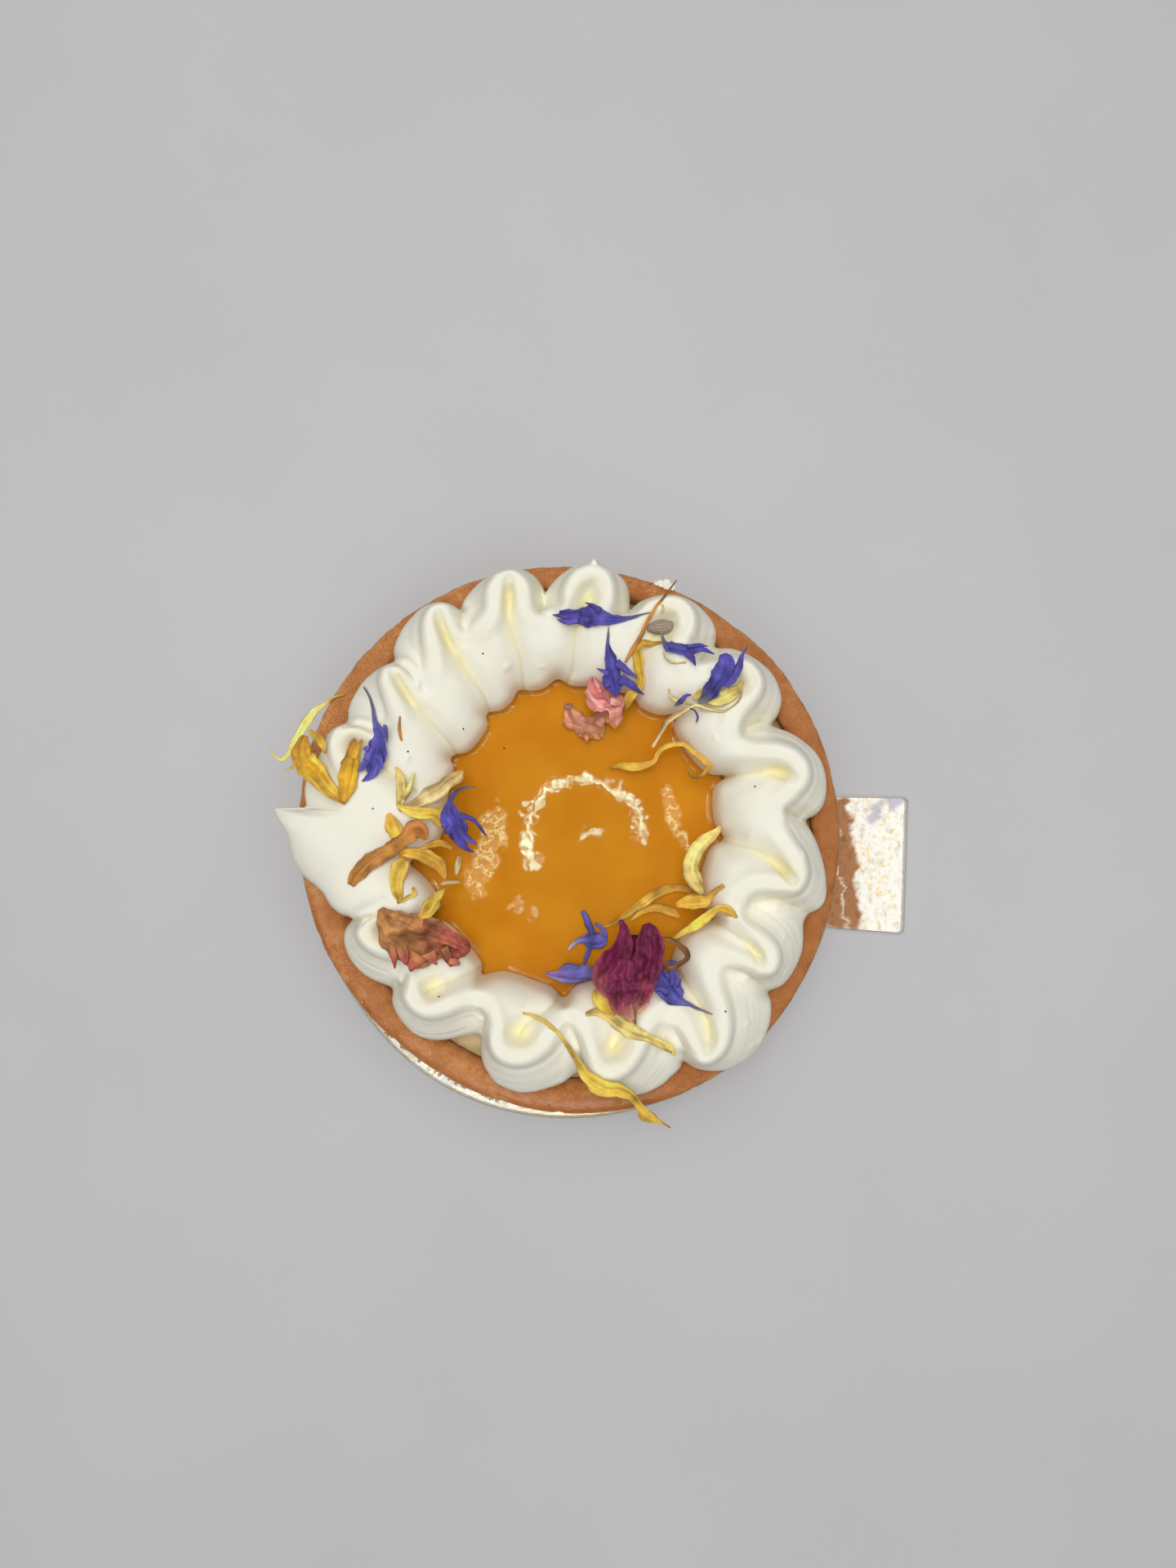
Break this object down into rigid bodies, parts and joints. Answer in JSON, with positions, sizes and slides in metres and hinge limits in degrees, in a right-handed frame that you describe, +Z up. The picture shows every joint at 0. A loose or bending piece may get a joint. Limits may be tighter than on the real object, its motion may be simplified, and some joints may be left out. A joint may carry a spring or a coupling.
{
  "type": "citrus tart",
  "caption": "Round shortcrust citrus tart with amber gel, a looped ruffle of piped cream and dried petals, on a gold card with a pull tab.",
  "frame": {"origin": "on the tart's axis, on the underside of the card", "axes": "+Z up, +X towards the card's pull tab, +Y away from the viewer when the tab is at the right"},
  "size_m": [0.1013, 0.09, 0.0339],
  "materials": {
    "card": "gold foil on card, hammered",
    "crust": "baked shortcrust",
    "filling": "moist set filling",
    "gel": "wet glossy gel",
    "cream": "silky whipped cream",
    "yellow": "dried petal",
    "ochre": "dried petal",
    "amber": "dried petal",
    "orange": "dried petal",
    "brown": "dried petal",
    "pale": "dried petal",
    "blue": "dried petal",
    "magenta": "dried petal",
    "pink": "dried petal",
    "russet": "dried petal",
    "grey": "dried seed head"
  },
  "bodies": {
    "root": {"cake_board": "card", "tart_shell": "crust", "filling": "filling", "citrus_gel": "gel", "piped_cream": "cream", "seed_head": "grey", "petal_long": "yellow", "petal_yellow_a": "yellow", "petal_yellow_b": "yellow", "petal_yellow_c": "yellow", "marigold_arch": "ochre", "marigold_upper": "ochre", "marigold_lower": "ochre", "marigold_ochre": "ochre", "marigold_down": "ochre", "marigold_brown": "orange", "strip_gel": "ochre", "thread_curly": "ochre", "thread_pale": "pale", "petal_pale": "pale", "petal_veined": "pale", "petal_veined_up": "pale", "petal_overhang": "pale", "petal_folded_a": "amber", "petal_folded_b": "amber", "petal_golden": "amber", "sliver_orange": "orange", "sliver_small": "brown", "curl_brown": "brown", "floret_low_a": "blue", "floret_low_b": "blue", "floret_low_c": "blue", "floret_gel": "blue", "floret_left": "blue", "floret_bell": "blue", "floret_top": "blue", "floret_right": "blue", "floret_frayed": "blue", "rose_magenta": "magenta", "rose_pink_lower": "pink", "rose_pink_upper": "pink", "rose_fan": "russet"}
  },
  "joints": []
}
